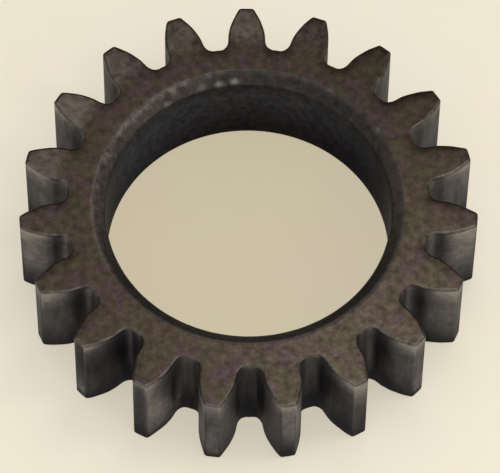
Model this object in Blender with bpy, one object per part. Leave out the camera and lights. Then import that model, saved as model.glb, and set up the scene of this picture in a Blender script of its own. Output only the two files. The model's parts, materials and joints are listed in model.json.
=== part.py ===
"""Pinion gear: one piece of steel, a ring with involute spur teeth outside and a plain round bore.

The gear lies flat with its axis on Z. The origin is on the axis, half way between the two end faces, and one tooth
is centred on +Y. The teeth are generated as a rack-shaped cutter makes them: the straight side of the rack leaves the
involute flank, and its rounded corner leaves the root fillet. The outline is then swept along the face width,
with a bevel at both ends of the teeth, and the bore runs through with a wide chamfer at each face.
"""

import math

import bmesh
import bpy
import numpy as np

MM = 0.001

# the teeth, in the usual proportions of a spur gear
TEETH = 19
MODULE = 3.0 * MM                       # pitch diameter divided by the number of teeth
PRESSURE_ANGLE = math.radians(20.0)
ADDENDUM = 1.0                          # height of a tooth above the pitch circle, in modules
DEDENDUM = 1.16                         # depth of a gap below the pitch circle, in modules
CUTTER_CORNER = 0.30                    # corner radius of the cutter that leaves the root fillet, in modules
TOOTH_THINNING = 0.05 * MM              # taken off each tooth at the pitch circle, so that a pair runs free
TIP_ROUNDING = 0.5 * MM                 # radius of the two long corners of each tip
LEAST_TIP_LAND = 0.4 * MM               # flat that stays between those corners

# the body
FACE_WIDTH = 15.5 * MM                  # length of the teeth along the axis
ROOT_WALL = 5.4 * MM                    # steel between the bore and the bottom of the gaps
END_BEVEL = 0.4 * MM                    # 45 degree bevel all along the outline at both end faces
CHAMFER_WIDTH = 1.75 * MM               # how far the chamfer at each end of the bore reaches out over the end face
CHAMFER_DEPTH = 1.4 * MM                # how far it reaches down the bore
CHAMFER_OUTER_CORNER = 1.4 * MM         # radius where the chamfer meets the end face
CHAMFER_INNER_CORNER = 0.8 * MM         # radius where it meets the bore's straight wall
SHARPEST_CORNER = 0.02 * MM             # smallest radius that a bevel leaves at a corner

# how finely the curves are divided
FILLET_POINTS = 6
FLANK_POINTS = 5
TIP_POINTS = 5
BORE_SIDES_PER_TOOTH = 8
CHAMFER_CORNER_POINTS = 4
UNDERCUT_SAMPLES = 400

# worked out from the sizes above
PITCH_RADIUS = MODULE * TEETH / 2
BASE_RADIUS = PITCH_RADIUS * math.cos(PRESSURE_ANGLE)
TIP_RADIUS = PITCH_RADIUS + ADDENDUM * MODULE
ROOT_RADIUS = PITCH_RADIUS - DEDENDUM * MODULE
BORE_RADIUS = ROOT_RADIUS - ROOT_WALL
HALF_PITCH_ANGLE = math.pi / TEETH
TOOTH_THICKNESS = math.pi * MODULE / 2 - TOOTH_THINNING
CHAMFER_SLOPE = math.atan2(CHAMFER_DEPTH, CHAMFER_WIDTH)
CHAMFER_STEEP = math.pi / 2 - CHAMFER_SLOPE
RIM_RADIUS = BORE_RADIUS + CHAMFER_WIDTH + CHAMFER_OUTER_CORNER * math.tan(CHAMFER_SLOPE / 2)
RIM_DEPTH = CHAMFER_DEPTH + CHAMFER_INNER_CORNER * math.tan(CHAMFER_STEEP / 2)


def involute_angle(roll):
    """Angle swept along the base circle less the pressure angle there: the tangent less the angle itself."""
    return np.tan(roll) - roll


def flank_half_angle(radius, inset):
    """Angle from a tooth's centre line to its involute flank at a radius, with the flank moved in by inset.

    Moving an involute squarely into the metal is the same as turning it about the axis by inset / base radius.
    """
    at_pitch = TOOTH_THICKNESS / (2 * PITCH_RADIUS) + involute_angle(PRESSURE_ANGLE)
    pressure = np.arccos(np.clip(BASE_RADIUS / radius, -1.0, 1.0))
    return at_pitch - inset / BASE_RADIUS - involute_angle(pressure)


def fillet_curve(turn, inset):
    """Radius and angle from the gap's centre line of the fillet that the cutter's rounded corner leaves.

    turn is the slope of the corner's normal, from 0 at the cutter's flat tip to a right angle less the pressure
    angle at its straight side. A point of the cutter touches the gear when its normal passes through the pitch
    point, which gives how far the rack has moved by then, and so how far the gear has turned.
    """
    half_space = (math.pi * MODULE - TOOTH_THICKNESS) / 2
    depth = DEDENDUM * MODULE
    slope, cosine = math.tan(PRESSURE_ANGLE), math.cos(PRESSURE_ANGLE)
    widest = (half_space - depth * slope) * cosine / (1 - math.sin(PRESSURE_ANGLE))
    corner = min(CUTTER_CORNER * MODULE, widest)
    centre_x = half_space - (depth - corner) * slope - corner / cosine
    centre_y = corner - depth
    x = centre_x + (corner + inset) * np.sin(turn)
    y = centre_y - (corner + inset) * np.cos(turn)
    across = -y * np.tan(turn)
    return np.hypot(across, PITCH_RADIUS + y), np.arctan2(across, PITCH_RADIUS + y) + (x - across) / PITCH_RADIUS


def fillet_end(inset):
    """Turn of the cutter's corner at which the fillet meets the flank, earlier where the cutter undercuts it."""
    whole = math.pi / 2 - PRESSURE_ANGLE
    turn = np.linspace(0.0, whole, UNDERCUT_SAMPLES)
    radius, angle = fillet_curve(turn, inset)
    past_flank = (radius > BASE_RADIUS) & (HALF_PITCH_ANGLE - flank_half_angle(radius, inset) < angle)
    past_flank[-1] = False
    return turn[np.flatnonzero(past_flank)[-1]] if past_flank.any() else whole


def tip_corner(inset):
    """Points of a tip's long corner, an arc that touches the flank and the tip circle, as radius and half angle."""
    half_land = TIP_RADIUS * float(flank_half_angle(TIP_RADIUS, 0.0))
    rounding = max(min(TIP_ROUNDING, half_land - LEAST_TIP_LAND / 2), inset + SHARPEST_CORNER)
    centre_radius = TIP_RADIUS - rounding
    centre_angle = float(flank_half_angle(centre_radius, rounding))
    tangent = math.sqrt(centre_radius**2 - BASE_RADIUS**2)
    normal = centre_angle + math.pi / 2 - math.atan2(tangent, BASE_RADIUS)
    way = np.linspace(normal, centre_angle, TIP_POINTS)
    x = centre_radius * math.cos(centre_angle) + (rounding - inset) * np.cos(way)
    y = centre_radius * math.sin(centre_angle) + (rounding - inset) * np.sin(way)
    return np.hypot(x, y), np.arctan2(y, x)


def gear_outline(inset):
    """The whole outline, moved squarely into the metal by inset, as an array of x and y, counterclockwise.

    Half a tooth runs from the middle of the gap to the middle of the tip. Its mirror image completes the tooth.
    """
    fillet_radius, fillet_angle = fillet_curve(np.linspace(0.0, fillet_end(inset), FILLET_POINTS), inset)
    tip_radius, tip_angle = tip_corner(inset)
    flank_radius = np.linspace(fillet_radius[-1], tip_radius[0], FLANK_POINTS)[1:-1]
    flank_angle = flank_half_angle(flank_radius, inset)
    radius = np.concatenate([fillet_radius[:1], fillet_radius, flank_radius, tip_radius, tip_radius[-1:]])
    angle = np.concatenate([[HALF_PITCH_ANGLE], HALF_PITCH_ANGLE - fillet_angle, flank_angle, tip_angle, [0.0]])
    tooth_radius = np.concatenate([radius, radius[-2:0:-1]])
    tooth_angle = np.concatenate([-angle, angle[-2:0:-1]])
    centres = math.pi / 2 + 2 * HALF_PITCH_ANGLE * np.arange(TEETH)
    turned = (centres[:, None] + tooth_angle[None, :]).ravel()
    reach = np.tile(tooth_radius, TEETH)
    return np.stack([reach * np.cos(turned), reach * np.sin(turned)], axis=1)


def circle(radius):
    """A circle around the axis, as an array of x and y, counterclockwise."""
    sides = BORE_SIDES_PER_TOOTH * TEETH
    turn = math.pi / 2 + 2 * math.pi * np.arange(sides) / sides
    return np.stack([radius * np.cos(turn), radius * np.sin(turn)], axis=1)


def bore_profile():
    """Radius and height down the bore: the upper chamfer between its two corner arcs, the wall and the lower chamfer.

    An arc's parameter is the slope of its normal, from upright at the end face to level at the wall.
    """
    outer = np.linspace(math.pi / 2, CHAMFER_STEEP, CHAMFER_CORNER_POINTS)
    inner = np.linspace(CHAMFER_STEEP, 0.0, CHAMFER_CORNER_POINTS)
    radius = np.concatenate([
        RIM_RADIUS - CHAMFER_OUTER_CORNER * np.cos(outer),
        BORE_RADIUS + CHAMFER_INNER_CORNER * (1 - np.cos(inner)),
    ])
    depth = np.concatenate([
        CHAMFER_OUTER_CORNER * (1 - np.sin(outer)),
        RIM_DEPTH - CHAMFER_INNER_CORNER * np.sin(inner),
    ])
    height = FACE_WIDTH / 2 - depth
    return list(zip(radius, height)) + list(zip(radius[::-1], -height[::-1]))


def add_loop(mesh, points, height):
    """Adds a closed loop of vertices and edges at a height, and returns its edges."""
    corners = [mesh.verts.new((x, y, height)) for x, y in points]
    return [mesh.edges.new(pair) for pair in zip(corners, corners[1:] + corners[:1])]


def build_gear():
    """Lofts the outline and the bore through their heights, and fills the two end faces between them."""
    mesh = bmesh.new()
    half_width = FACE_WIDTH / 2
    bevelled, full = gear_outline(END_BEVEL), gear_outline(0.0)
    teeth = [
        add_loop(mesh, bevelled, half_width),
        add_loop(mesh, full, half_width - END_BEVEL),
        add_loop(mesh, full, END_BEVEL - half_width),
        add_loop(mesh, bevelled, -half_width),
    ]
    bore = [add_loop(mesh, circle(radius), height) for radius, height in bore_profile()]
    for loops in (teeth, bore):
        for upper, lower in zip(loops, loops[1:]):
            bmesh.ops.bridge_loops(mesh, edges=upper + lower)
    for end in (0, -1):
        bmesh.ops.triangle_fill(mesh, edges=teeth[end] + bore[end], use_beauty=True)
    bmesh.ops.recalc_face_normals(mesh, faces=mesh.faces[:])
    return mesh


def dark_steel():
    """Hardened steel with the brown-grey skin that oil and handling leave on it."""
    material = bpy.data.materials.new("dark_steel")
    material.use_nodes = True
    shader = material.node_tree.nodes["Principled BSDF"]
    shader.inputs["Base Color"].default_value = (0.14, 0.12, 0.10, 1.0)
    shader.inputs["Metallic"].default_value = 1.0
    shader.inputs["Roughness"].default_value = 0.45
    return material


def main():
    """Empties the scene and adds the gear."""
    for old in list(bpy.data.objects):
        bpy.data.objects.remove(old)
    mesh = bpy.data.meshes.new("pinion_gear")
    shape = build_gear()
    shape.to_mesh(mesh)
    shape.free()
    mesh.shade_smooth()
    mesh.set_sharp_from_angle(angle=math.radians(25.0))
    mesh.materials.append(dark_steel())
    gear = bpy.data.objects.new("pinion_gear", mesh)
    bpy.context.scene.collection.objects.link(gear)


main()
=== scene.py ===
"""Pinion gear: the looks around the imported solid.

The gear is one piece of hardened steel. Its surface here is a single closed grid. One parameter runs along
the outline of the teeth. The other runs once round the section: up the bore, out over the upper face, down
the teeth and back under the lower face. The teeth follow the same generating rack as the solid, and the
overall size is read from the frame.
"""

from __future__ import annotations

import json
import logging
import math
from dataclasses import dataclass, field
from enum import Enum
from typing import Any, Mapping, Sequence

import bpy
import numpy as np
from mathutils import Matrix, Vector

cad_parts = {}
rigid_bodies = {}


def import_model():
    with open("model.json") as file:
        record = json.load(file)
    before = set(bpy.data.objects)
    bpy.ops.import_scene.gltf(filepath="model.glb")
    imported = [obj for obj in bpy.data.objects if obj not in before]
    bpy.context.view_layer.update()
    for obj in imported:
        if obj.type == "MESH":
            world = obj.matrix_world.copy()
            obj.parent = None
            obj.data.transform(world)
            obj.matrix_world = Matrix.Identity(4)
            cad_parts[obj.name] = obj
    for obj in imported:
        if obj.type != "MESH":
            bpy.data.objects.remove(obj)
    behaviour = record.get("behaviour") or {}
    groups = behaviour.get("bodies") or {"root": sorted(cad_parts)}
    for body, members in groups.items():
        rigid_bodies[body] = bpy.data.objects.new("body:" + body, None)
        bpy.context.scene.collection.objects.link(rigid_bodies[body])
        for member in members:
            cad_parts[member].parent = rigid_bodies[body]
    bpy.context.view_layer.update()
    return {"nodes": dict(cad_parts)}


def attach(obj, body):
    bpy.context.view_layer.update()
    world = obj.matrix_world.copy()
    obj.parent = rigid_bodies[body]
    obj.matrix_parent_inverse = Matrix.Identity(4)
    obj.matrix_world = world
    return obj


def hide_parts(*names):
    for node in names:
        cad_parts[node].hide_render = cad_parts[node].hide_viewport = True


LOG = logging.getLogger("pinion_gear")

MM = 0.001
NODE = "pinion_gear"
BODY = "root"

Array = np.ndarray
Values = Array | float
Colour = tuple[float, float, float, float]
Triple = tuple[float, float, float]

# a mark on the gear: its middle and its half width, both in degrees, and its height
Bell = tuple[float, float, float]


def linear(code: str) -> Colour:
    """Turns an sRGB hex colour into the linear colour that a shader takes.

    Args:
        code: Six hex digits after a hash, such as #51463c.

    Returns:
        Red, green, blue and an alpha of one, linear.
    """
    parts = [int(code[place:place + 2], 16) / 255.0 for place in (1, 3, 5)]
    bent = [part / 12.92 if part <= 0.04045 else ((part + 0.055) / 1.055) ** 2.4 for part in parts]
    return (bent[0], bent[1], bent[2], 1.0)


def live(sockets: Any, key: str | int) -> Any:
    """Returns the socket at a place, or the shown one of a name, since a Mix node hides some of its own."""
    return sockets[key] if isinstance(key, int) else next(s for s in sockets if s.name == key and s.enabled)


def add_node(
    tree: bpy.types.NodeTree,
    kind: str,
    settings: Mapping[str, Any] | None = None,
    values: Mapping[str | int, Any] | None = None,
    links: Mapping[str | int, bpy.types.NodeSocket] | None = None,
) -> bpy.types.Node:
    """Adds one shader node with its settings and links.

    Args:
        tree: The node tree that takes the node.
        kind: The node's type name in Blender.
        settings: Properties of the node itself.
        values: Input values by the input's name or place.
        links: Sockets that feed inputs, by the input's name or place.

    Returns:
        The new node.
    """
    node = tree.nodes.new(kind)
    for name, value in (settings or {}).items():
        setattr(node, name, value)
    for key, value in (values or {}).items():
        live(node.inputs, key).default_value = value
    for key, source in (links or {}).items():
        tree.links.new(source, live(node.inputs, key))
    return node


def unit(value: Values) -> Array:
    """Limits a value to the range from 0 to 1."""
    return np.clip(value, 0.0, 1.0)


def bell(away: Values, reach: Values) -> Array:
    """A bell curve: e to the power of minus the square of the distance over the half width."""
    return np.exp(-((away / reach) ** 2))


def degrees_from(middles: Array, angles: Array) -> Array:
    """The shorter way round to each angle from each middle, in degrees, one row for each angle."""
    return np.degrees(np.angle(np.exp(1j * (angles[:, None] - np.radians(middles)))))


def bells_at(angles: Array, bells: Sequence[Bell]) -> Array:
    """Sum of bell curves round the axis.

    Args:
        angles: Angles in radians, of a place or of the direction that it faces.
        bells: The bells, with middle and half width in degrees.

    Returns:
        The sum at each angle.
    """
    middle, reach, most = np.asarray(bells, dtype=float).T
    return (most * bell(degrees_from(middle, angles), reach)).sum(axis=1)


def ripple(turn: Array, waves: Sequence[int], seed: int) -> Array:
    """An uneven line round the axis that closes on itself.

    It is a sum of cosines with whole wave numbers and seeded phases, scaled to about minus one to one.

    Args:
        turn: Angles round the axis.
        waves: The wave numbers.
        seed: Seed of the phases.

    Returns:
        The value at each angle.
    """
    numbers = np.asarray(waves, dtype=float)
    phases = np.random.default_rng(seed).uniform(0.0, 2.0 * math.pi, len(numbers))
    total = np.cos(turn[..., None] * numbers + phases).sum(axis=-1)
    return total / math.sqrt(2.0 * len(numbers))


class Zone(Enum):
    """The stretches of the section, each machined in its own way, in the order of the material slots."""

    END_FACE = 0
    TOOTH = 1
    EDGE = 2
    BORE = 3
    CHAMFER = 4


@dataclass(frozen=True)
class GearSizes:
    """Sizes of the gear, the overall ones read from the frame.

    Lengths are in metres. Addendum, dedendum and the cutter's corner are in modules.
    """

    tip_radius: float
    face_width: float
    bore_radius: float
    teeth: int = 19
    pressure_angle: float = math.radians(20.0)
    addendum: float = 1.0
    dedendum: float = 1.16
    cutter_corner: float = 0.30
    tooth_thinning: float = 0.05 * MM
    tip_rounding: float = 0.5 * MM
    end_bevel: float = 0.4 * MM
    chamfer_width: float = 1.75 * MM
    chamfer_depth: float = 1.4 * MM
    chamfer_outer_corner: float = 1.4 * MM
    chamfer_inner_corner: float = 0.8 * MM

    # how far the finer curve is laid inside the solid's outline
    skin: float = 0.005 * MM

    @classmethod
    def from_frame(cls, node: bpy.types.Object) -> GearSizes:
        """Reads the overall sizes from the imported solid.

        Args:
            node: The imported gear, with its place in its vertices.

        Returns:
            The sizes, with the teeth's usual proportions.
        """
        flat = np.empty(3 * len(node.data.vertices), dtype=np.float32)
        node.data.vertices.foreach_get("co", flat)
        points = flat.reshape(-1, 3).astype(float)
        radius = np.hypot(points[:, 0], points[:, 1])
        return cls(
            tip_radius=float(radius.max()),
            face_width=float(np.ptp(points[:, 2])),
            bore_radius=float(radius.min()),
        )

    @property
    def module(self) -> float:
        """Pitch diameter divided by the number of teeth."""
        return 2.0 * self.tip_radius / (self.teeth + 2.0 * self.addendum)

    @property
    def pitch_radius(self) -> float:
        """Radius at which two such gears roll on each other."""
        return self.module * self.teeth / 2.0

    @property
    def base_radius(self) -> float:
        """Radius of the circle that the involute unwinds from."""
        return self.pitch_radius * math.cos(self.pressure_angle)

    @property
    def root_radius(self) -> float:
        """Radius of the bottom of the gaps."""
        return self.pitch_radius - self.dedendum * self.module

    @property
    def chamfer_slope(self) -> float:
        """Angle between the bore's chamfer and the end face."""
        return math.atan2(self.chamfer_depth, self.chamfer_width)

    @property
    def rim_radius(self) -> float:
        """Radius at which the flat end face begins, just outside the chamfer's rounded corner."""
        corner = self.chamfer_outer_corner * math.tan(self.chamfer_slope / 2.0)
        return self.bore_radius + self.chamfer_width + corner

    @property
    def rim_depth(self) -> float:
        """Depth below the end face at which the bore's straight wall begins."""
        steep = math.pi / 2.0 - self.chamfer_slope
        return self.chamfer_depth + self.chamfer_inner_corner * math.tan(steep / 2.0)

    @property
    def half_pitch_angle(self) -> float:
        """Angle from a tooth's centre line to the next gap's."""
        return math.pi / self.teeth

    @property
    def tooth_thickness(self) -> float:
        """Arc of a tooth on the pitch circle."""
        return math.pi * self.module / 2.0 - self.tooth_thinning


@dataclass(frozen=True)
class Outline:
    """A closed outline in XY: places, directions away from the metal, and heights on the tooth, 0 to 1."""

    place: Array
    outward: Array
    toothed: Array

    @property
    def turn(self) -> Array:
        """Angle of each point round the axis."""
        return np.arctan2(self.place[:, 1], self.place[:, 0])

    @property
    def facing(self) -> Array:
        """Angle of each point's outward direction."""
        return np.arctan2(self.outward[:, 1], self.outward[:, 0])


@dataclass(frozen=True)
class ToothCurve:
    """The outline of the teeth, with as many points as each part of the curve needs."""

    sizes: GearSizes
    fillet_points: int = 11
    flank_points: int = 12
    corner_points: int = 7
    land_points: int = 2

    def fillet(self) -> tuple[Array, Array, Array]:
        """The root fillet, from the bottom of the gap to the flank.

        A point of the cutter's rounded corner touches the gear when its normal passes through the pitch
        point. The slope of that normal is the parameter. It gives how far the rack has moved by then, and so
        how far the gear has turned, which is added to the angle of the point and of its normal.

        Returns:
            Radius, angle from the gap's centre line, and angle of the outward normal from that line.
        """
        s = self.sizes
        half_space = (math.pi * s.module - s.tooth_thickness) / 2.0
        depth, corner = s.dedendum * s.module, s.cutter_corner * s.module
        slope, cosine = math.tan(s.pressure_angle), math.cos(s.pressure_angle)
        centre_x = half_space - (depth - corner) * slope - corner / cosine
        turn = np.linspace(0.0, math.pi / 2.0 - s.pressure_angle, self.fillet_points)
        x = centre_x + corner * np.sin(turn)
        y = corner - depth - corner * np.cos(turn)
        across = -y * np.tan(turn)
        rolled = (x - across) / s.pitch_radius
        touching = np.arctan2(across, s.pitch_radius + y)
        return np.hypot(across, s.pitch_radius + y), touching + rolled, rolled - turn

    def flank_half_angle(self, radius: Array, inset: float = 0.0) -> Array:
        """Angle from the tooth's centre line to the involute flank.

        It is half the tooth's angle at the pitch circle plus the involute of the pressure angle there, less
        the involute at this radius. A flank moved into the metal turns by the inset over the base radius.

        Args:
            radius: Distances from the axis.
            inset: How far the flank is moved into the metal.

        Returns:
            The angle at each radius.
        """
        s = self.sizes
        pressure = np.arccos(np.clip(s.base_radius / radius, -1.0, 1.0))
        at_pitch = s.tooth_thickness / (2.0 * s.pitch_radius) + math.tan(s.pressure_angle) - s.pressure_angle
        return at_pitch - inset / s.base_radius - (np.tan(pressure) - pressure)

    def half_tooth(self) -> tuple[Array, Array, Array, Array]:
        """Half a tooth, from the gap's centre line to the tooth's, both ends included.

        Returns:
            Radius, angle from the tooth's centre line, angle of the normal from that line, and how high each
            point stands, from 0 at the bottom of the gap to 1 at the tip.
        """
        s = self.sizes
        fillet_radius, fillet_angle, fillet_normal = self.fillet()
        centre_radius = s.tip_radius - s.tip_rounding
        centre_angle = float(self.flank_half_angle(np.array(centre_radius), s.tip_rounding))
        lean = math.acos(s.base_radius / centre_radius)
        along = math.sqrt(centre_radius**2 - s.base_radius**2) + s.tip_rounding
        flank_end = math.hypot(s.base_radius, along)
        steepest = centre_angle + math.pi / 2.0 - lean
        way = np.linspace(steepest, centre_angle, self.corner_points)
        corner = centre_radius * np.exp(1j * centre_angle) + s.tip_rounding * np.exp(1j * way)
        flank_radius = np.linspace(fillet_radius[-1], flank_end, self.flank_points + 2)[1:-1]
        flank_angle = self.flank_half_angle(flank_radius)
        flank_normal = flank_angle + math.pi / 2.0 - np.arccos(s.base_radius / flank_radius)
        gap = s.half_pitch_angle
        bottom = np.linspace(gap, gap - fillet_angle[0], self.land_points + 1)[:-1]
        top = np.linspace(centre_angle, 0.0, self.land_points + 1)[1:]
        radius = np.concatenate([
            np.full(self.land_points, fillet_radius[0]), fillet_radius, flank_radius, np.abs(corner),
            np.full(self.land_points, s.tip_radius),
        ])
        angle = np.concatenate([bottom, gap - fillet_angle, flank_angle, np.angle(corner), top])
        normal = np.concatenate([bottom, gap - fillet_normal, flank_normal, way, top])
        height = (radius - s.root_radius) / (s.tip_radius - s.root_radius)
        return radius, angle, normal, height

    def whole(self) -> Outline:
        """The outline of all the teeth, counterclockwise, with one tooth centred on +Y.

        Each half tooth is laid at minus and plus its angles about every tooth's centre line. The whole line
        is then moved in by the skin, because its finer curve would stand proud of the solid's facets.

        Returns:
            The closed outline.
        """
        radius, angle, normal, height = self.half_tooth()
        back = slice(-2, 0, -1)
        one_radius = np.concatenate([radius, radius[back]])
        one_angle = np.concatenate([-angle, angle[back]])
        one_normal = np.concatenate([-normal, normal[back]])
        centres = math.pi / 2.0 + 2.0 * self.sizes.half_pitch_angle * np.arange(self.sizes.teeth)
        turned = (centres[:, None] + one_angle[None, :]).ravel()
        facing = (centres[:, None] + one_normal[None, :]).ravel()
        reach = np.tile(one_radius, self.sizes.teeth)
        outward = np.stack([np.cos(facing), np.sin(facing)], axis=1)
        full = reach[:, None] * np.stack([np.cos(turned), np.sin(turned)], axis=1)
        return Outline(
            place=full - self.sizes.skin * outward,
            outward=outward,
            toothed=np.tile(np.concatenate([height, height[back]]), self.sizes.teeth),
        )


@dataclass(frozen=True)
class Wear:
    """What handling and running have done to the gear: its small dents, and where rubbed metal and old oil
    show, along with the painted highlights and painted shade laid on the same marks.
    """

    # the wandering width of the end edges, the nicks in them and the dents in the bore's rims
    edge_play: float = 0.16
    edge_waves: tuple[int, ...] = (23, 41, 67, 97, 131, 173, 211)
    edge_seed: int = 7
    nick_count: int = 46
    nick_depth: float = 0.22 * MM
    nick_least: float = 0.2
    nick_length: float = 0.45 * MM
    nick_seed: int = 17
    rim_dents: float = 0.035 * MM
    rim_waves: tuple[int, ...] = (31, 59, 83, 127, 181, 223)
    rim_drift: float = 0.15
    rim_seed: int = 27

    # bells over the angle round the axis
    # painted shade on the upper right of the end faces and the bore, with old oil
    soiled_and_shaded: tuple[Bell, ...] = ((44, 44, 1.15), (100, 22, 0.35))
    # rub and painted highlight on the tooth ends of the end faces
    face_rub_and_highlight: tuple[Bell, ...] = ((93, 22, 1.2), (150, 32, 1.5))
    # painted highlight on the front right of the end faces
    ring_highlight: tuple[Bell, ...] = ((305, 45, 1.0),)
    # polish and painted highlight: the crescent of glint on the far rim, a lighter wall and bright tips
    polish_and_highlight: tuple[Bell, ...] = ((138, 26, 1.0), (186, 14, 0.6), (310, 34, 0.5))
    # painted sheen in the near gaps
    near_gap_sheen: tuple[Bell, ...] = ((275, 75, 0.4),)
    # the near rim, whose dark band is painted shade
    near_rim: tuple[Bell, ...] = ((275, 64, 1.0),)
    # old oil and painted shade where the wall meets the chamfer, lighter in two places
    corner_soil_and_shade: tuple[Bell, ...] = ((358, 20, 0.8), (146, 18, -0.45), (62, 26, -0.25))
    # painted shade on the bore's wall at its two sides
    wall_shade: tuple[Bell, ...] = ((3, 15, 0.8), (176, 12, 0.5))
    # where the far chamfer is kept lighter
    chamfer_lighter: tuple[Bell, ...] = ((0, 22, 1.0), (183, 24, 0.8), (128, 24, 0.35))

    # bells over the direction that a side or an edge faces
    # old oil and painted shade on sides that face round 232° and 48°
    sides_soil_and_shade: tuple[Bell, ...] = ((232, 14, 0.45), (48, 42, 0.6))
    # painted highlight on the sides and edges that face the front
    front_edges_lit: tuple[Bell, ...] = ((218, 42, 0.7), (292, 62, 0.85))
    # painted shade on the edges that face the back
    back_edges_shaded: tuple[Bell, ...] = ((90, 80, 1.0),)

    # old oil and painted shade up the rim's profile, from the wall at 0 to the face at 1: on the far rim, and
    # painted shade alone on the near one
    rim_soil_and_shade: tuple[tuple[float, float], ...] = (
        (0.0, 0.7), (0.08, 0.5), (0.2, 0.5), (0.3, 0.68),
        (0.6, 0.66), (0.72, 0.48), (0.84, 0.62), (1.0, 0.85),
    )
    near_rim_shade: tuple[tuple[float, float], ...] = (
        (0.0, 0.5), (0.15, 0.6), (0.35, 1.0), (0.72, 1.0), (0.82, 0.3), (0.9, 0.0), (1.0, 0.0),
    )

    # rubbed spots on the far rim, which also serve as painted glints: degrees round the axis, millimetres up
    # the rim's profile, and height
    rim_spots_and_glints: tuple[Triple, ...] = (
        (95.0, 1.0, 0.9), (101.3, 0.95, 0.95), (108.3, 0.95, 0.6), (123.6, 0.75, 0.6), (114.5, 2.15, 0.5),
        (119.3, 2.0, 0.65), (131.3, 1.9, 0.45), (138.2, 2.0, 0.6), (148.0, 2.15, 0.5), (157.0, 2.05, 0.6),
        (164.0, 2.3, 0.3), (171.0, 2.0, 0.3), (104.6, 2.5, 0.3), (69.0, 2.3, 0.3), (56.5, 2.5, 0.25),
        (33.0, 2.55, 0.3),
    )
    spot_reach: float = 0.56 * MM
    spot_squeeze: float = 0.8

    # patches that face straight out, on the tips and in one gap: degrees, share of the way down, and height
    tip_patches: tuple[Triple, ...] = (
        (224, 0.3, -0.6), (224, 0.9, 0.6), (243, 0.3, -0.15), (243, 0.9, -0.15), (262, 0.1, -0.15),
        (262, 0.8, 0.4), (271, 0.5, -0.3), (281, 0.12, -0.35), (281, 0.4, 0.5), (281, 0.95, -0.4),
        (300, 0.7, -0.35), (319, 0.1, -0.2), (319, 0.5, -0.15), (319, 0.9, 0.35),
    )

    # patches on the flanks: degrees round the axis, degrees faced, share of the way down, and height
    flank_patches: tuple[tuple[float, float, float, float], ...] = (
        (15, 299, 0.3, 0.5), (129, 205, 0.3, -0.5), (167, 243, 0.4, 0.5), (188, 251, 0.4, 0.6),
        (205, 250, 0.2, 0.4), (226, 290, 0.4, -0.7), (245, 310, 0.5, 0.5), (245, 310, 0.7, 0.3),
        (254, 220, 0.4, 0.3), (262, 185, 0.45, 0.6), (268, 325, 0.3, 0.35), (281, 350, 0.3, 0.6),
        (287, 335, 0.3, 0.4), (297, 250, 0.5, -0.25), (311, 270, 0.6, 0.25), (322, 252, 0.5, -0.2),
        (330, 290, 0.5, 0.4), (337, 261, 0.4, 0.3), (352, 287, 0.4, 0.6),
    )
    patch_turn: float = 6.0
    patch_facing: float = 22.0
    patch_down: float = 0.35

    def spots(self, turn: Array, radius: float, along: float) -> Array:
        """Rubbed spots on the rim, which also serve as painted glints: the highest of the bell curves about
        the spots' places.

        Args:
            turn: Angles round the axis.
            radius: Distance from the axis.
            along: Distance up the rim's profile.

        Returns:
            How much each angle is brightened.
        """
        middle, up, most = np.asarray(self.rim_spots_and_glints, dtype=float).T
        round_way = radius * np.radians(degrees_from(middle, turn))
        away = np.hypot(self.spot_squeeze * round_way, along - up * MM)
        return (most * bell(away, self.spot_reach)).max(axis=1)

    def patches(self, outline: Outline, share: float) -> Array:
        """Brighter and darker patches on single teeth: a sum of bells over place, direction faced and height.

        Args:
            outline: The outline of the teeth.
            share: How far down the teeth, 0 at the upper edge and 1 at the lower one.

        Returns:
            The patches at each point, above zero where brighter and below zero where darker.
        """
        straight = [(turn, turn, down, most) for turn, down, most in self.tip_patches]
        middle, facing, down, most = np.asarray([*straight, *self.flank_patches], dtype=float).T
        turned = bell(degrees_from(middle, outline.turn), self.patch_turn)
        faced = bell(degrees_from(facing, outline.facing), self.patch_facing)
        return (most * turned * faced * bell(share - down, self.patch_down)).sum(axis=1)

    def edge_width(self, outline: Outline, base: float, side: int) -> Array:
        """Width of the rounded end edge at each point of the outline, which wanders by a share of itself.

        Args:
            outline: The outline of the teeth.
            base: The even width.
            side: 0 for the upper edge and 1 for the lower one, which wander differently.

        Returns:
            The widths.
        """
        uneven = ripple(outline.turn, self.edge_waves, self.edge_seed + side)
        return base * (1.0 - self.edge_play + self.edge_play * uneven)

    def nicks(self, outline: Outline, side: int) -> Array:
        """Depth of the small nicks in an end edge: bell curves at seeded places along the outline.

        Args:
            outline: The outline of the teeth.
            side: 0 for the upper edge and 1 for the lower one.

        Returns:
            How far each point of the edge is knocked down.
        """
        chance = np.random.default_rng(self.nick_seed + side)
        places = outline.place[chance.integers(0, len(outline.place), self.nick_count)]
        depths = self.nick_depth * chance.uniform(self.nick_least, 1.0, self.nick_count) ** 2
        away = np.linalg.norm(outline.place[:, None, :] - places[None, :, :], axis=2)
        return (depths * bell(away, self.nick_length)).max(axis=1)


@dataclass(frozen=True)
class BoreLevels:
    """How strongly each mark shows in the bore. Up the rim's profile, 0 is the wall and 1 is the face."""

    # the wall is lightened by polish and painted highlight
    wall_polish_and_highlight: float = 0.2
    # old oil and painted shade darken the wall
    wall_soil_and_shade: float = 0.3
    # a line of painted highlight up the rim's profile, the crescent of glint, broken where the rim dips
    line: float = 0.68
    line_reach: float = 0.16
    line_highlight: float = 0.4
    line_gaps: float = 0.5
    corner_reach: float = 0.2
    face_from: float = 0.88
    wall_slope: float = 0.3


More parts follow.
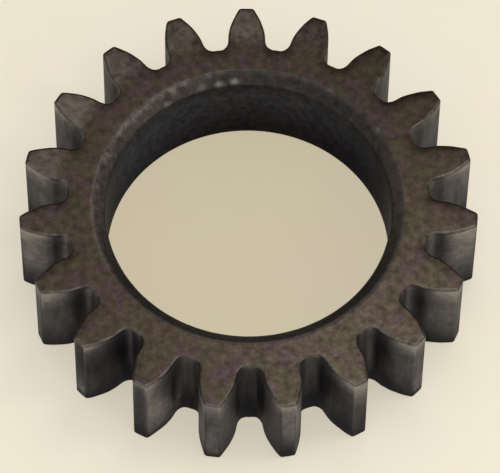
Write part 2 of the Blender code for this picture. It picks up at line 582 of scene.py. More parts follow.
@dataclass(frozen=True)
class FaceLevels:
    """How strongly each mark shows on the end faces and their edges, and how far it reaches."""

    # painted highlight near the edges that face the front
    front_edge_highlight: float = 0.3
    front_edge_highlight_reach: float = 0.5 * MM
    # rub and painted highlight on the tooth ends
    tooth_rub_and_highlight: float = 0.45
    tooth_rise: float = 2.0 * MM
    # painted highlight over the front right
    ring_highlight_level: float = 0.25
    # old oil and painted shade on the upper right
    soil_and_shade: float = 0.28
    # painted shade near the edges that face the back
    back_edge_shade: float = 0.8
    back_edge_shade_reach: float = 1.2 * MM
    bevel_start: float = 0.65
    bevel_in_gap: float = 0.75


@dataclass(frozen=True)
class SideLevels:
    """How strongly each mark shows on the sides of the teeth.

    Heights on a tooth run from 0 at the bottom of the gap to 1 at the tip, and ways down it from 0 at the
    upper edge to 1 at the lower one.
    """

    # rubbed bright on the upper flanks and at both ends, all of it stronger where the tips are polished and
    # carry painted highlight
    flank_from: float = 0.7
    flank_rise: float = 0.25
    flank_rub: float = 0.75
    end_rub: float = 0.2
    end_reach: float = 0.05
    tip_from: float = 0.95
    even_rub: float = 0.3
    rub_fade: float = 0.5

    # painted highlight: a line under the upper edge, weaker in the gaps and on the tips, and a painted sheen
    # in the near gaps
    top_reach: float = 0.14
    top_in_gap: float = 0.35
    top_tip_loss: float = 0.5
    gap_fade: float = 0.7

    # old oil and painted shade in the gaps and on their floors, and painted shade further down and in a band
    # along the lower edge
    hollow_height: float = 0.55
    hollow_soil_and_shade: float = 0.3
    hollow_clean: float = 0.7
    hollow_clean_reach: float = 0.08
    gap_floor: float = 0.08
    floor_shade: float = 0.15
    fall_shade: float = 0.35
    bottom_reach: float = 0.26
    bottom_shade: float = 1.1
    bottom_tip_loss: float = 0.85


@dataclass(frozen=True)
class Row:
    """One row of the grid: its points, the finish of the strip that starts at it, and how rubbed and how dark
    it is, partly with painted highlight and painted shade.
    """

    points: Array
    zone: Zone
    rub_and_highlight: Array
    grime_and_shade: Array


@dataclass
class PinionGear:
    """The gear's surface, as one closed grid of rows round the section and columns along the outline."""

    sizes: GearSizes
    wear: Wear = field(default_factory=Wear)
    in_bore: BoreLevels = field(default_factory=BoreLevels)
    on_face: FaceLevels = field(default_factory=FaceLevels)
    on_side: SideLevels = field(default_factory=SideLevels)
    wall_rows: int = 6
    rim_rows: int = 6
    chamfer_rows: int = 5
    edge_rows: int = 6
    tooth_rows: int = 8
    face_shares: tuple[float, ...] = (0.0, 0.03, 0.12, 0.25, 0.4, 0.55, 0.7, 0.83, 0.93, 0.985)
    rows: list[Row] = field(default_factory=list)

    def __post_init__(self) -> None:
        """Works out the outline that every row follows."""
        self.outline = ToothCurve(self.sizes).whole()

    def _by_turn(self, bells: Sequence[Bell]) -> Array:
        """Marks placed by the angle round the axis."""
        return bells_at(self.outline.turn, bells)

    def _by_facing(self, bells: Sequence[Bell]) -> Array:
        """Marks placed by the direction that the outline faces."""
        return bells_at(self.outline.facing, bells)

    def _add_row(self, flat: Array, height: Values, zone: Zone, rub_and_highlight: Values, grime_and_shade: Array) -> None:
        """Adds one row of the grid.

        Args:
            flat: Place of each column in XY.
            height: Height of each column.
            zone: How the strip that starts at this row is finished.
            rub_and_highlight: How brightly each column is rubbed, together with painted highlight, limited to
                0 to 1.
            grime_and_shade: How dark each column is with old oil and painted shade, limited to 0 to 1.
        """
        one = (len(flat),)
        points = np.column_stack([flat, np.broadcast_to(height, one)])
        self.rows.append(Row(points, zone, *(np.broadcast_to(unit(level), one) for level in (rub_and_highlight, grime_and_shade))))

    def _circle(self, radius: Values) -> Array:
        """Points on a circle round the axis, at the same angles as the outline's."""
        turn = self.outline.turn
        return (radius * np.stack([np.cos(turn), np.sin(turn)])).T

    def _edge_distance(self, flat: Array) -> Array:
        """Distance of points on an end face from the outline.

        The nearest of the outline's points within half a pitch is taken, for a row of columns at once. The
        far ones can't be the nearest, so a window of columns either side is enough.

        Args:
            flat: Place of each column in XY.

        Returns:
            The distances.
        """
        reach = len(self.outline.place) // self.sizes.teeth // 2
        shifts = np.arange(-reach, reach + 1)
        columns = (np.arange(len(flat))[:, None] + shifts[None, :]) % len(flat)
        return np.linalg.norm(self.outline.place[columns] - flat[:, None, :], axis=2).min(axis=1)

    def _wall(self) -> None:
        """Adds the bore's straight wall, from the lower rim up to the upper one, painted darker towards the
        lower end as shade.
        """
        wear, level = self.wear, self.in_bore
        straight = self.sizes.face_width / 2.0 - self.sizes.rim_depth
        circle, corner = self._circle(self.sizes.bore_radius), self._by_turn(wear.corner_soil_and_shade)
        even = level.wall_soil_and_shade * self._by_turn(wear.soiled_and_shaded) + self._by_turn(wear.wall_shade)
        even = even - level.wall_polish_and_highlight * self._by_turn(wear.polish_and_highlight)
        for share in np.arange(self.wall_rows) / self.wall_rows:
            # painted shade that deepens towards the lower end of the bore
            grime_and_shade = 1.0 - share + even + corner * share
            self._add_row(circle, straight * (2.0 * share - 1.0), Zone.BORE, 0.0, grime_and_shade)

    def _rim_section(self) -> tuple[Array, Array]:
        """The section of the bore's rim: the chamfer's straight line with an arc at each end.

        One arc starts upright at the bore's wall and the other ends flat at the face. Their parameter is the
        slope of the normal, from level to upright.

        Returns:
            Radius and depth below the face of each point, and the slope of the normal there.
        """
        s = self.sizes
        steep = math.pi / 2.0 - s.chamfer_slope
        low = np.linspace(0.0, steep, self.rim_rows)
        high = np.linspace(steep, math.pi / 2.0, self.rim_rows)
        lower = np.stack([
            s.bore_radius + s.chamfer_inner_corner * (1.0 - np.cos(low)),
            s.rim_depth - s.chamfer_inner_corner * np.sin(low),
        ], axis=1)
        upper = np.stack([
            s.rim_radius - s.chamfer_outer_corner * np.cos(high),
            s.chamfer_outer_corner * (1.0 - np.sin(high)),
        ], axis=1)
        between = np.linspace(0.0, 1.0, self.chamfer_rows + 2)[1:-1, None]
        section = np.concatenate([lower, (1.0 - between) * lower[-1] + between * upper[0], upper])
        return section, np.concatenate([low, np.full(self.chamfer_rows, steep), high])

    def _bore(self, side: int) -> None:
        """Adds the chamfered rim at one end of the bore.

        Small dents push it into the metal along its own normal, by an uneven line round the axis that shifts
        a little from row to row.

        Args:
            side: 0 for the upper rim, which is walked outwards, and 1 for the lower one, walked inwards.
        """
        wear, level, turn = self.wear, self.in_bore, self.outline.turn
        section, slopes = self._rim_section()
        along = np.concatenate([[0.0], np.cumsum(np.linalg.norm(np.diff(section, axis=0), axis=1))])
        polish_with_highlight, corner = self._by_turn(wear.polish_and_highlight), self._by_turn(wear.corner_soil_and_shade)
        near = self._by_turn(wear.near_rim)
        far = (1.0 - self._by_turn(wear.chamfer_lighter)) * (1.0 - near)
        order = range(len(slopes) - 1) if side == 0 else range(len(slopes) - 1, 0, -1)
        for row in order:
            slope, (radius, depth) = slopes[row], section[row]
            uneven = ripple(turn + wear.rim_drift * slope, wear.rim_waves, wear.rim_seed + side)
            dent = wear.rim_dents * math.sin(2.0 * slope) * unit(uneven)
            flat = self._circle(radius + dent * math.cos(slope))
            height = self.sizes.face_width / 2.0 - depth - dent * math.sin(slope)
            share = along[row] / along[-1]
            # painted highlight: a crescent of glint along the far rim, and spots that stand for its glints
            rub_and_highlight = level.line_highlight * bell(share - level.line, level.line_reach) * polish_with_highlight
            rub_and_highlight = np.maximum(rub_and_highlight * unit(level.line_gaps + uneven), wear.spots(turn, radius, along[row]))
            # old oil and painted shade up the far rim, painted shade on the near rim, and more where the rim
            # meets the wall
            grime_and_shade = np.interp(share, *np.array(wear.rim_soil_and_shade).T) * far
            grime_and_shade = grime_and_shade + np.interp(share, *np.array(wear.near_rim_shade).T) * near
            grime_and_shade = grime_and_shade + bell(share, level.corner_reach) * corner
            inside = Zone.BORE if slope < level.wall_slope else Zone.CHAMFER
            zone = Zone.END_FACE if share > level.face_from else inside
            self._add_row(flat, (1.0 - 2.0 * side) * height, zone, rub_and_highlight, grime_and_shade)

    def _face(self, side: int, inner: Array) -> None:
        """Adds one end face, flat between the rim of the bore and the inner line of the rounded edge.

        Each column runs straight from the rim to the edge, with rows close together at both ends.

        Args:
            side: 0 for the upper face, walked outwards, and 1 for the lower one, walked inwards.
            inner: Place of the edge's inner line in XY.
        """
        wear, level = self.wear, self.on_face
        front_lit, back = self._by_facing(wear.front_edges_lit), self._by_facing(wear.back_edges_shaded)
        tooth_rub_and_highlight = level.tooth_rub_and_highlight * self._by_turn(wear.face_rub_and_highlight)
        ring_highlight_level = level.ring_highlight_level * self._by_turn(wear.ring_highlight)
        soil_and_shade = level.soil_and_shade * self._by_turn(wear.soiled_and_shaded)
        rim = self._circle(self.sizes.rim_radius)
        height = (0.5 - side) * self.sizes.face_width
        for step in self.face_shares:
            share = 1.0 - step if side == 1 else step
            flat = (1.0 - share) * rim + share * inner
            gap = self._edge_distance(flat)
            on_tooth = unit((np.linalg.norm(flat, axis=1) - self.sizes.root_radius) / level.tooth_rise)
            # painted highlight near edges that face the front and on the front right ring; painted shade near
            # those that face the back
            front_edge_highlight = level.front_edge_highlight * np.exp(-gap / level.front_edge_highlight_reach) * front_lit
            grime_and_shade = soil_and_shade + level.back_edge_shade * bell(gap, level.back_edge_shade_reach) * back
            self._add_row(flat, height, Zone.END_FACE, front_edge_highlight + on_tooth * tooth_rub_and_highlight + ring_highlight_level, grime_and_shade)

    def _edge(self, side: int, width: Array, drop: Array) -> None:
        """Adds the rounded edge along the outline at one end face.

        In the section it is a quarter of an ellipse: as wide as the edge and as high as its drop.

        Args:
            side: 0 for the upper edge, walked down, and 1 for the lower one.
            width: How far the edge reaches over the face.
            drop: How far it reaches down the teeth.
        """
        o, level = self.outline, self.on_face
        front_lit, back = self._by_facing(self.wear.front_edges_lit), self._by_facing(self.wear.back_edges_shaded)
        on_tooth = level.bevel_in_gap + (1.0 - level.bevel_in_gap) * o.toothed
        steps = np.linspace(0.0, math.pi / 2.0, self.edge_rows + 1)[:-1]
        if side == 1:
            steps = math.pi / 2.0 - steps
        for turn in steps:
            inset = width * (1.0 - math.sin(turn))
            fall = drop * (1.0 - math.cos(turn))
            height = (1.0 - 2.0 * side) * (self.sizes.face_width / 2.0 - fall)
            flat = o.place - o.outward * inset[:, None]
            # painted highlight on the edges that face the front; painted shade on those that face the back
            # and all along the lower edge
            rub_and_highlight = level.bevel_start + (1.0 - level.bevel_start) * math.sin(turn) ** 2
            self._add_row(flat, height, Zone.EDGE, (1.0 - side) * rub_and_highlight * on_tooth * front_lit, back + side)

    def _tooth(self, top: Array, bottom: Array) -> None:
        """Adds the sides of the teeth, straight down from the upper edge to the lower one.

        Args:
            top: Height of the upper edge's lower line at each column.
            bottom: Height of the lower edge's upper line.
        """
        wear, level, high = self.wear, self.on_side, self.outline.toothed
        polish_with_highlight, gap_sheen = self._by_turn(wear.polish_and_highlight), self._by_turn(wear.near_gap_sheen)
        front_lit, soil_and_shade = unit(self._by_facing(wear.front_edges_lit)), self._by_facing(wear.sides_soil_and_shade)
        tip = unit((high - level.tip_from) / (1.0 - level.tip_from))
        gap_floor = bell(high, level.gap_floor)
        flank = level.flank_rub * unit((high - level.flank_from) / level.flank_rise)
        # painted highlight along the upper edge, and painted sheen in the near gaps
        top_highlight_line = (level.top_in_gap + (1.0 - level.top_in_gap) * high - level.top_tip_loss * tip) * front_lit
        sheen = gap_sheen * (1.0 - level.gap_fade * high) * (1.0 - gap_floor)
        # old oil and painted shade low in the gaps; painted shade on the front-facing gap floors, further
        # down and along the lower edge
        hollow = level.hollow_soil_and_shade * unit(1.0 - high / level.hollow_height)
        even_soil_and_shade = level.floor_shade * gap_floor * front_lit + soil_and_shade
        bottom_shade_band = level.bottom_shade - level.bottom_tip_loss * high
        for share in np.arange(self.tooth_rows) / self.tooth_rows:
            patches = wear.patches(self.outline, share)
            ends = math.exp(-share / level.end_reach) + math.exp(-(1.0 - share) / level.end_reach)
            rub_and_highlight = flank + level.end_rub * ends * high
            rub_and_highlight = rub_and_highlight * unit(level.even_rub + tip * polish_with_highlight - level.rub_fade * share - soil_and_shade)
            rub_and_highlight = rub_and_highlight + bell(share, level.top_reach) * top_highlight_line + patches + sheen * (1.0 - share)
            grime_and_shade = hollow * (1.0 - level.hollow_clean * math.exp(-share / level.hollow_clean_reach))
            grime_and_shade = grime_and_shade + even_soil_and_shade - patches + level.fall_shade * share**2
            grime_and_shade = grime_and_shade + bottom_shade_band * bell(1.0 - share, level.bottom_reach)
            self._add_row(self.outline.place, top + (bottom - top) * share, Zone.TOOTH, rub_and_highlight, grime_and_shade)

    def build(self) -> bpy.types.Object:
        """Computes the grid and puts it into a mesh.

        The rows run once round the section: up the bore's wall, over the upper rim, face and edge, down the
        teeth and back underneath. Rows and columns both close on themselves, so the surface has no seam.

        Returns:
            The gear's object, at the origin.
        """
        wear, o = self.wear, self.outline
        half = self.sizes.face_width / 2.0
        widths = [wear.edge_width(o, self.sizes.end_bevel, side) for side in (0, 1)]
        drops = [widths[side] + wear.nicks(o, side) for side in (0, 1)]
        inner = [o.place - o.outward * widths[side][:, None] for side in (0, 1)]
        self._wall()
        self._bore(0)
        self._face(0, inner[0])
        self._edge(0, widths[0], drops[0])
        self._tooth(half - drops[0], drops[1] - half)
        self._edge(1, widths[1], drops[1])
        self._face(1, inner[1])
        self._bore(1)
        return self._to_mesh()

    def dress(self, body: bpy.types.Object) -> None:
        """Gives the body the finish of each zone, in the order of the material slots."""
        for zone in Zone:
            body.data.materials.append(FINISHES[zone].build())

    def _to_mesh(self) -> bpy.types.Object:
        """Makes a mesh object of the rows, with its attributes and zones.

        Face (v, u) joins columns u and u+1 of rows v and v+1, counted round, in the order that faces out.

        Returns:
            The object, at the origin.
        """
        grid = np.stack([row.points for row in self.rows])
        high, wide = grid.shape[:2]
        v, u = np.meshgrid(np.arange(high), np.arange(wide), indexing="ij")
        nv, nu = (v + 1) % high, (u + 1) % wide
        corners = [v * wide + u, nv * wide + u, nv * wide + nu, v * wide + nu]
        faces = np.stack(corners, axis=-1).reshape(-1, len(corners))
        mesh = bpy.data.meshes.new("gear_body")
        mesh.vertices.add(high * wide)
        mesh.vertices.foreach_set("co", grid.astype(np.float32).ravel())
        mesh.loops.add(faces.size)
        mesh.loops.foreach_set("vertex_index", faces.astype(np.int32).ravel())
        mesh.polygons.add(len(faces))
        mesh.polygons.foreach_set("loop_start", np.arange(0, faces.size, len(corners), dtype=np.int32))
        slots = np.repeat(np.array([row.zone.value for row in self.rows], dtype=np.int32), wide)
        mesh.polygons.foreach_set("material_index", slots)
        mesh.update(calc_edges=True)
        for name in ("rub_and_highlight", "grime_and_shade"):
            layer = mesh.attributes.new(name, "FLOAT", "POINT")
            levels = np.stack([getattr(row, name) for row in self.rows])
            layer.data.foreach_set("value", levels.astype(np.float32).ravel())
        mesh.shade_smooth()
        gear = bpy.data.objects.new("gear_body", mesh)
        bpy.context.scene.collection.objects.link(gear)
        return gear


@dataclass(frozen=True)
class Pattern:
    """A noise on Object coordinates: its size in metres, octaves, roughness, and squeeze along each axis."""

    size: float
    detail: float
    roughness: float
    squeeze: Triple = (1.0, 1.0, 1.0)

    def build(self, tree: bpy.types.NodeTree, place: Any) -> bpy.types.Node:
        """Adds the noise.

        Args:
            tree: The node tree that takes it.
            place: Socket of the Object coordinates.

        Returns:
            The noise node.
        """
        drawn = add_node(tree, "ShaderNodeMapping", values={"Scale": self.squeeze}, links={"Vector": place})
        values = {"Scale": 1.0 / self.size, "Detail": self.detail, "Roughness": self.roughness}
        return add_node(tree, "ShaderNodeTexNoise", None, values, {"Vector": drawn.outputs["Vector"]})


@dataclass(frozen=True)
class SteelFinish:
    """A finish of the gear's steel.

    All zones are the same case-hardened alloy steel. They differ in how they were cut, in how much of the
    brown oil skin they hold, and in where it is rubbed through to the bare metal. Each blends towards its
    dark colour for old oil and painted shade, and towards its bare colour for rubbed metal and painted
    highlights.
    """

    name: str
    tones: tuple[str, str, str]
    rubbed: str
    dirt_and_shade: str
    roughness: float
    rubbed_roughness: float
    edge_glint: str = "#ffffff"

    # the oil skin's blotches and spots, and the patches in which it is rubbed through, at their real size
    blotches: Pattern = Pattern(3.0 * MM, 5.0, 0.62)
    blotch_stops: Triple = (0.38, 0.5, 0.62)
    spots: Pattern = Pattern(1.1 * MM, 4.0, 0.65)
    spot_range: tuple[float, float] = (0.3, 0.7)
    spot_contrast: float = 0.38
    patches: Pattern = Pattern(1.1 * MM, 4.0, 0.6)
    break_up: float = 1.6

    # the cutter's marks and the steel's grain, a few times coarser than the real ones, which don't show
    marks: Pattern = Pattern(0.8 * MM, 3.0, 0.5)
    mark_depth: float = 0.02 * MM
    grain: Pattern = Pattern(0.35 * MM, 3.0, 0.6)
    grain_depth: float = 0.006 * MM

    def build(self) -> bpy.types.Material:
        """Makes the material, with its patterns on Object coordinates and its wear, painted highlights and
        painted shade on the piece's attributes.

        Returns:
            The material.
        """
        material = bpy.data.materials.new(self.name)
        material.use_nodes = True
        tree = material.node_tree
        shader = tree.nodes["Principled BSDF"]
        shader.inputs["Metallic"].default_value = 1.0
        shader.inputs["Specular Tint"].default_value = linear(self.edge_glint)
        place = add_node(tree, "ShaderNodeTexCoord").outputs["Object"]
        worn_and_lit = self._worn_and_lit(tree, place)
        bare = self._mix(tree, worn_and_lit, self._colour(tree, place), linear(self.rubbed))
        tree.links.new(bare, shader.inputs["Base Color"])
        values = {"To Min": self.roughness, "To Max": self.rubbed_roughness}
        rough = add_node(tree, "ShaderNodeMapRange", None, values, {"Value": worn_and_lit})
        tree.links.new(rough.outputs["Result"], shader.inputs["Roughness"])
        tree.links.new(self._relief(tree, place), shader.inputs["Normal"])
        return material

    def _mix(self, tree: bpy.types.NodeTree, share: Any, first: Any, second: Colour) -> Any:
        """Mixes a socket's colour with a fixed one.

        Args:
            tree: The material's node tree.
            share: Socket of the fixed colour's share.
            first: Socket of the colour that it is mixed into.
            second: The fixed colour.

        Returns:
            The mixed colour's socket.
        """
        links = {"Factor": share, "A": first}
        mix = add_node(tree, "ShaderNodeMix", {"data_type": "RGBA"}, {"B": second}, links)
        return live(mix.outputs, "Result")

    def _colour(self, tree: bpy.types.NodeTree, place: Any) -> Any:
        """Adds blotches of three close tones, darker where old oil has settled and where shade is painted,
        with spots over both.

        Args:
            tree: The material's node tree.
            place: Socket of the Object coordinates.

        Returns:
            The colour's socket.
        """
        blotches = self.blotches.build(tree, place).outputs["Fac"]
        ramp = add_node(tree, "ShaderNodeValToRGB", links={"Fac": blotches})
        elements = ramp.color_ramp.elements
        elements[0].position, elements[1].position = self.blotch_stops[0], self.blotch_stops[2]
        elements[0].color, elements[1].color = linear(self.tones[0]), linear(self.tones[2])
        elements.new(self.blotch_stops[1]).color = linear(self.tones[1])
        grime_and_shade = add_node(tree, "ShaderNodeAttribute", {"attribute_name": "grime_and_shade"}).outputs["Fac"]
        soiled_and_shaded = self._mix(tree, grime_and_shade, ramp.outputs["Color"], linear(self.dirt_and_shade))
        values = {
            "From Min": self.spot_range[0], "From Max": self.spot_range[1],
            "To Min": 1.0 - self.spot_contrast, "To Max": 1.0 + self.spot_contrast,
        }
        spots = self.spots.build(tree, place).outputs["Fac"]
        factor = add_node(tree, "ShaderNodeMapRange", None, values, {"Value": spots}).outputs["Result"]
        toned = add_node(tree, "ShaderNodeHueSaturation", links={"Value": factor, "Color": soiled_and_shaded})
        return toned.outputs["Color"]

    def _worn_and_lit(self, tree: bpy.types.NodeTree, place: Any) -> Any:
        """Adds the rubbed share of the surface, which also carries painted highlights, broken up by a noise
        so that bare metal shows in patches.

        Args:
            tree: The material's node tree.
            place: Socket of the Object coordinates.

        Returns:
            The socket of the rubbed share.
        """
        rub_and_highlight = add_node(tree, "ShaderNodeAttribute", {"attribute_name": "rub_and_highlight"}).outputs["Fac"]
        patches = self.patches.build(tree, place).outputs["Fac"]
        spread = {1: self.break_up, 2: -self.break_up / 2.0}
        broken = add_node(tree, "ShaderNodeMath", {"operation": "MULTIPLY_ADD"}, spread, {0: patches})
        share = broken.outputs[0]
        for operation in ("ADD", "MULTIPLY"):
            settings = {"operation": operation, "use_clamp": True}
            share = add_node(tree, "ShaderNodeMath", settings, links={0: rub_and_highlight, 1: share}).outputs[0]
        return share

    def _relief(self, tree: bpy.types.NodeTree, place: Any) -> Any:
        """Adds the cutter's marks and the fine grain of the steel, one bump on the other.

        Args:
            tree: The material's node tree.
            place: Socket of the Object coordinates.

        Returns:
            The normal's socket.
        """
        links = {}
        for pattern, depth in ((self.marks, self.mark_depth), (self.grain, self.grain_depth)):
            links["Height"] = pattern.build(tree, place).outputs["Fac"]
            values = {"Strength": 1.0, "Distance": depth}
            links["Normal"] = add_node(tree, "ShaderNodeBump", None, values, links).outputs["Normal"]
        return links["Normal"]


# the end faces were turned flat and hold the brown skin of old oil, so they look like dull bronze
END_FACE_STEEL = SteelFinish(
    name="oil_browned_turned_steel",
    tones=("#3f3b2e", "#42382f", "#433637"),
    rubbed="#746a61",
    dirt_and_shade="#201914",
    roughness=0.4,
    rubbed_roughness=0.34,
)

# the teeth were cut along the axis, which leaves fine upright lines, and are a cooler grey than the faces
TOOTH_STEEL = SteelFinish(
    name="hobbed_case_hardened_steel",
    tones=("#4f5050", "#555357", "#58565d"),
    rubbed="#969392",
    dirt_and_shade="#1b1b25",
    roughness=0.55,
    rubbed_roughness=0.42,
    edge_glint="#dcdcdc",
    spots=Pattern(1.1 * MM, 4.0, 0.65, (1.0, 1.0, 0.2)),
    marks=Pattern(0.5 * MM, 3.0, 0.5, (1.0, 1.0, 0.05)),
)

# the broken edges are rubbed through to bare steel; the thin pale line round the teeth is that rub with
# painted highlight where the edges face the front, and the edges facing the back and the lower ones carry
# painted shade
EDGE_STEEL = SteelFinish(
    name="rubbed_edge_steel_with_painted_light",
    tones=("#3e3932", "#413a33", "#423a37"),
    rubbed="#7a766f",
    dirt_and_shade="#1f1812",
    roughness=0.45,
    rubbed_roughness=0.32,
    marks=Pattern(0.6 * MM, 3.0, 0.5),
)

# the bore was ground round; its blue-grey tones are the cool light of its shade painted in, and it is the
# darkest part with painted shade and old grease
BORE_STEEL = SteelFinish(
    name="ground_bore_steel_in_painted_shade",
    tones=("#454953", "#484a53", "#4b4d55"),
    rubbed="#6a655f",
    dirt_and_shade="#2b282d",
    roughness=0.46,
    rubbed_roughness=0.38,
    edge_glint="#b1b3b8",
    marks=Pattern(0.8 * MM, 3.0, 0.5, (0.3, 0.3, 1.0)),
    mark_depth=0.01 * MM,
)

# the chamfers were turned like the faces, but they hold less of the brown skin and look a little greyer
CHAMFER_STEEL = SteelFinish(
    name="turned_chamfer_steel",
    tones=("#4e483f", "#504941", "#514845"),
    rubbed="#85827b",
    dirt_and_shade="#2a2829",
    roughness=0.42,
    rubbed_roughness=0.34,
)

FINISHES = {
    Zone.END_FACE: END_FACE_STEEL,
    Zone.TOOTH: TOOTH_STEEL,
    Zone.EDGE: EDGE_STEEL,
    Zone.BORE: BORE_STEEL,
    Zone.CHAMFER: CHAMFER_STEEL,
}


@dataclass(frozen=True)
class PaperFloor:
    """A pale cream sheet of matt paper under the gear, that curves up into a low backdrop far away."""

    height: float
    radius: float = 3.0
    curve: float = 0.1
    backdrop: float = 0.3
    sides: int = 96
    curve_points: int = 9
    clearance: float = 0.02 * MM

    # the paper's colour outside, the darker colour in the bore, which is painted shade of the gear, the two
    # radii under the gear between which it changes, and how far the shadows are lifted on each
    colour: str = "#efe6d2"
    bore_shade_colour: str = "#cabfa5"
    bore_edges: tuple[float, float] = (20.5 * MM, 23.0 * MM)
    lift: float = 0.55
    bore_lift: float = 0.9

    # a ray that leaves the paper for the gear's underside, or comes from there, is shorter than this
    short_ray: float = 0.1 * MM

    # the lift fades from the near side to the far side
    fade_reach: float = 70.0 * MM
    near_glow: float = 1.12
    far_glow: float = 0.96

    # the faint tints in the paper are clouds of 25 mm, much wider than its real fibres
    clouds: Pattern = Pattern(25.0 * MM, 4.0, 0.6)
    cloud_tint: float = 0.1

    def build(self) -> bpy.types.Object:
        """Makes the sheet with its material.

        Its profile is turned round the axis: a flat disc, a quarter circle up and a straight stretch.

        Returns:
            The floor's object.
        """
        bend = np.linspace(0.0, math.pi / 2.0, self.curve_points)
        reach = np.append(self.radius - self.curve * (1.0 - np.sin(bend)), self.radius)
        rise = np.append(self.curve * (1.0 - np.cos(bend)), self.backdrop) + self.height - self.clearance
        turn = np.linspace(0.0, 2.0 * math.pi, self.sides, endpoint=False)
        ring = np.stack([np.cos(turn), np.sin(turn)], axis=-1)
        heights = np.broadcast_to(rise[:, None, None], (len(rise), self.sides, 1))
        points = np.concatenate([reach[:, None, None] * ring, heights], axis=-1).reshape(-1, 3)
        row, column = np.meshgrid(np.arange(len(reach) - 1), np.arange(self.sides), indexing="ij")
        here, after = row * self.sides + column, row * self.sides + (column + 1) % self.sides
        quads = np.stack([here + self.sides, after + self.sides, after, here], axis=-1).reshape(-1, 4)
        mesh = bpy.data.meshes.new("paper_floor")
        mesh.from_pydata(points.tolist(), [], [list(range(self.sides))] + quads.tolist())
        mesh.shade_smooth()
        mesh.materials.append(self._paper())
        floor = bpy.data.objects.new("paper_floor", mesh)
        bpy.context.scene.collection.objects.link(floor)
        return floor

    def _cream(self, tree: bpy.types.NodeTree, place: Any, outside: Any) -> Any:
        """Adds the paper's colour: painted shade in the bore, cream outside, and faint clouds over both.

        Args:
            tree: The material's node tree.
            place: Socket of the Object coordinates.
            outside: Socket that is 0 in the bore and 1 outside.

        Returns:
            The colour's socket.
        """
        tones = {"A": linear(self.bore_shade_colour), "B": linear(self.colour)}
        colour = add_node(tree, "ShaderNodeMix", {"data_type": "RGBA"}, tones, {"Factor": outside})
        clouds = self.clouds.build(tree, place).outputs["Color"]
        soft = {"data_type": "RGBA", "blend_type": "SOFT_LIGHT"}
        links = {"A": live(colour.outputs, "Result"), "B": clouds}
        tinted = add_node(tree, "ShaderNodeMix", soft, {"Factor": self.cloud_tint}, links)
        return live(tinted.outputs, "Result")

    def _glow(self, tree: bpy.types.NodeTree, place: Any, cream: Any) -> Any:
        """Adds the paper's own glow, stronger on the near side, which lifts the shadows where it is mixed in.

        Args:
            tree: The material's node tree.
            place: Socket of the Object coordinates.
            cream: Socket of the paper's colour.

        Returns:
            The shader's socket.
        """
        back = add_node(tree, "ShaderNodeSeparateXYZ", links={"Vector": place}).outputs["Y"]
        values = {
            "From Min": -self.fade_reach, "From Max": self.fade_reach,
            "To Min": self.near_glow, "To Max": self.far_glow,
        }
        fading = add_node(tree, "ShaderNodeMapRange", None, values, {"Value": back}).outputs["Result"]
        glow = add_node(tree, "ShaderNodeEmission", links={"Color": cream, "Strength": fading})
        return glow.outputs["Emission"]

    def _paper(self) -> bpy.types.Material:
        """Makes matt cream paper with painted shade in the bore, which lifts its own shadows a little.

        The camera and the steel's reflections see it lifted alike. From below it is clear, and so it is to a
        ray that has only crossed the gap under the gear, so that the underside can be seen and lit.

        Returns:
            The material.
        """
        material = bpy.data.materials.new("matt_cream_paper")
        material.use_nodes = True
        tree = material.node_tree
        shader = tree.nodes["Principled BSDF"]
        shader.inputs["Roughness"].default_value = 0.95
        shader.inputs["Specular IOR Level"].default_value = 0.1
        place = add_node(tree, "ShaderNodeTexCoord").outputs["Object"]
        level = {1: (1.0, 1.0, 0.0)}
        flat = add_node(tree, "ShaderNodeVectorMath", {"operation": "MULTIPLY"}, level, {0: place}).outputs[0]
        reach = add_node(tree, "ShaderNodeVectorMath", {"operation": "LENGTH"}, links={0: flat})
        edges = {"From Min": self.bore_edges[0], "From Max": self.bore_edges[1]}
        links = {"Value": reach.outputs["Value"]}
        outside = add_node(tree, "ShaderNodeMapRange", None, edges, links).outputs["Result"]
        cream = self._cream(tree, place, outside)
        tree.links.new(cream, shader.inputs["Base Color"])
        path = add_node(tree, "ShaderNodeLightPath").outputs
        seen = path["Is Camera Ray"]
        for kind in ("Is Transmission Ray", "Is Glossy Ray"):
            links = {0: seen, 1: path[kind]}
            seen = add_node(tree, "ShaderNodeMath", {"operation": "MAXIMUM"}, links=links).outputs[0]
        lifts = {"To Min": self.bore_lift, "To Max": self.lift}
        lift = add_node(tree, "ShaderNodeMapRange", None, lifts, {"Value": outside}).outputs["Result"]
        share = add_node(tree, "ShaderNodeMath", {"operation": "MULTIPLY"}, links={0: seen, 1: lift})
        links = {0: share.outputs[0], 1: shader.outputs["BSDF"], 2: self._glow(tree, place, cream)}
        lifted = add_node(tree, "ShaderNodeMixShader", links=links).outputs["Shader"]
        short = add_node(
            tree, "ShaderNodeMath", {"operation": "LESS_THAN"}, {1: self.short_ray}, {0: path["Ray Length"]},
        )
        links = {0: short.outputs[0], 1: add_node(tree, "ShaderNodeNewGeometry").outputs["Backfacing"]}
        clear = add_node(tree, "ShaderNodeMath", {"operation": "MAXIMUM"}, links=links).outputs[0]
        links = {0: clear, 1: lifted, 2: add_node(tree, "ShaderNodeBsdfTransparent").outputs["BSDF"]}
        both = add_node(tree, "ShaderNodeMixShader", links=links)
        tree.links.new(both.outputs["Shader"], tree.nodes["Material Output"].inputs["Surface"])
        return material


@dataclass(frozen=True)
class Lamp:
    """A round lamp aimed at the origin, with its place and diameter in metres and its power in watts."""

    name: str
    place: Triple
    size: float
    power: float


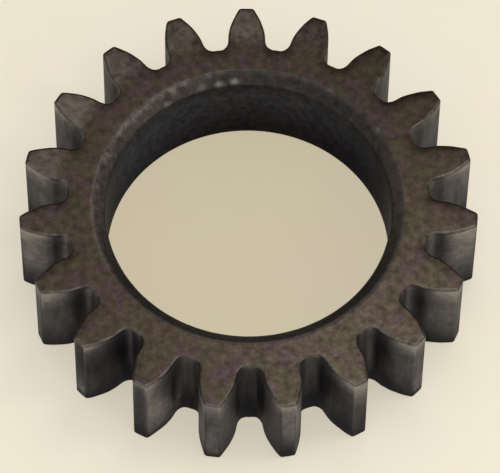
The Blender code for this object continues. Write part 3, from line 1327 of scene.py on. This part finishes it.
@dataclass(frozen=True)
class Studio:
    """The camera and the light, in a rig that is turned about the gear's axis.

    The photograph's frame is given in pixels: its size, where the middle of the upper face shows, and how
    long the tip radius is there.
    """

    sizes: GearSizes
    turn: float = math.radians(-1.1715)
    elevation: float = math.radians(60.922)
    roll: float = math.radians(0.7228)
    distance: float = 680.0 * MM
    image_width: float = 500.0
    image_height: float = 473.0
    centre_x: float = 248.51
    centre_y: float = 204.11
    pixels_per_tip_radius: float = 229.60

    # the camera's sensor in millimetres, as Blender takes it, and how near and far it sees, in metres
    sensor: float = 36.0
    nearest: float = 0.01
    farthest: float = 20.0
    key: Lamp = Lamp("key_light", (120.0 * MM, -14.0 * MM, 172.0 * MM), 60.0 * MM, 0.06)
    panel: Lamp = Lamp("back_panel", (20.0 * MM, 46.0 * MM, 150.0 * MM), 80.0 * MM, 0.034)
    sky_strength: float = 0.5
    sky_lean: Triple = (0.13, -0.08, 0.5)

    def _rig(self) -> Matrix:
        """The turn of the whole rig about the gear's axis."""
        return Matrix.Rotation(self.turn, 3, "Z")

    def place_camera(self) -> bpy.types.Object:
        """Sets up the camera where the photograph was taken from.

        The camera stands off the middle of the upper face along its elevation. It is aimed at the point
        beside that middle that the photograph's frame is centred on.

        Returns:
            The camera.
        """
        back = Vector((0.0, -math.cos(self.elevation), math.sin(self.elevation)))
        right = Vector((1.0, 0.0, 0.0))
        up = back.cross(right)
        spin = Matrix.Rotation(self.roll, 3, back)
        right, up = spin @ right, spin @ up
        middle = Vector((0.0, 0.0, self.sizes.face_width / 2.0))
        eye = middle + back * self.distance
        step = self.sizes.tip_radius / self.pixels_per_tip_radius
        target = middle + right * (self.image_width / 2.0 - self.centre_x) * step
        target -= up * (self.image_height / 2.0 - self.centre_y) * step
        forward = (target - eye).normalized()
        side = forward.cross(up).normalized()
        axes = Matrix((side, side.cross(forward), -forward)).transposed()
        data = bpy.data.cameras.new("camera")
        data.sensor_width = self.sensor
        focal_pixels = self.pixels_per_tip_radius * self.distance / self.sizes.tip_radius
        data.lens = focal_pixels * self.sensor / self.image_width
        data.clip_start = self.nearest
        data.clip_end = self.farthest
        camera = bpy.data.objects.new("camera", data)
        rig = self._rig()
        camera.matrix_world = Matrix.Translation(rig @ eye) @ (rig @ axes).to_4x4()
        bpy.context.scene.collection.objects.link(camera)
        bpy.context.scene.camera = camera
        return camera

    def light(self) -> None:
        """Adds the compact key light overhead, the panel behind it and the soft surroundings."""
        for lamp in (self.key, self.panel):
            data = bpy.data.lights.new(lamp.name, "AREA")
            data.shape = "DISK"
            data.size = lamp.size
            data.energy = lamp.power
            light = bpy.data.objects.new(lamp.name, data)
            light.location = self._rig() @ Vector(lamp.place)
            light.rotation_euler = light.location.to_track_quat("Z", "Y").to_euler()
            bpy.context.scene.collection.objects.link(light)
        world = bpy.data.worlds.new("studio")
        bpy.context.scene.world = world
        world.use_nodes = True
        tree = world.node_tree
        shader = tree.nodes["Background"]
        shader.inputs["Color"].default_value = linear("#ffffff")
        around = add_node(tree, "ShaderNodeTexCoord").outputs["Generated"]
        lean = add_node(
            tree, "ShaderNodeVectorMath", {"operation": "DOT_PRODUCT"},
            values={1: self._rig() @ Vector(self.sky_lean)}, links={0: around},
        )
        level = add_node(
            tree, "ShaderNodeMath", {"operation": "ADD"}, {1: self.sky_strength}, {0: lean.outputs["Value"]},
        )
        tree.links.new(level.outputs[0], shader.inputs["Strength"])


def main() -> None:
    """Builds the gear, its finishes, the floor, the light and the camera, in that order."""
    logging.basicConfig(level=logging.INFO, format="%(name)s: %(message)s")
    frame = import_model()
    sizes = GearSizes.from_frame(frame["nodes"][NODE])
    LOG.info("tip radius %.3f mm, bore radius %.3f mm", sizes.tip_radius / MM, sizes.bore_radius / MM)
    pinion = PinionGear(sizes)
    gear = pinion.build()
    pinion.dress(gear)
    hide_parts(NODE)
    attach(gear, BODY)
    LOG.info("gear body: %d faces", len(gear.data.polygons))
    floor = PaperFloor(height=-sizes.face_width / 2.0).build()
    LOG.info("paper floor")
    studio = Studio(sizes)
    studio.place_camera()
    studio.light()
    bpy.context.scene.view_settings.view_transform = "Standard"
    LOG.info("camera and light")


if __name__ == "__main__":
    main()
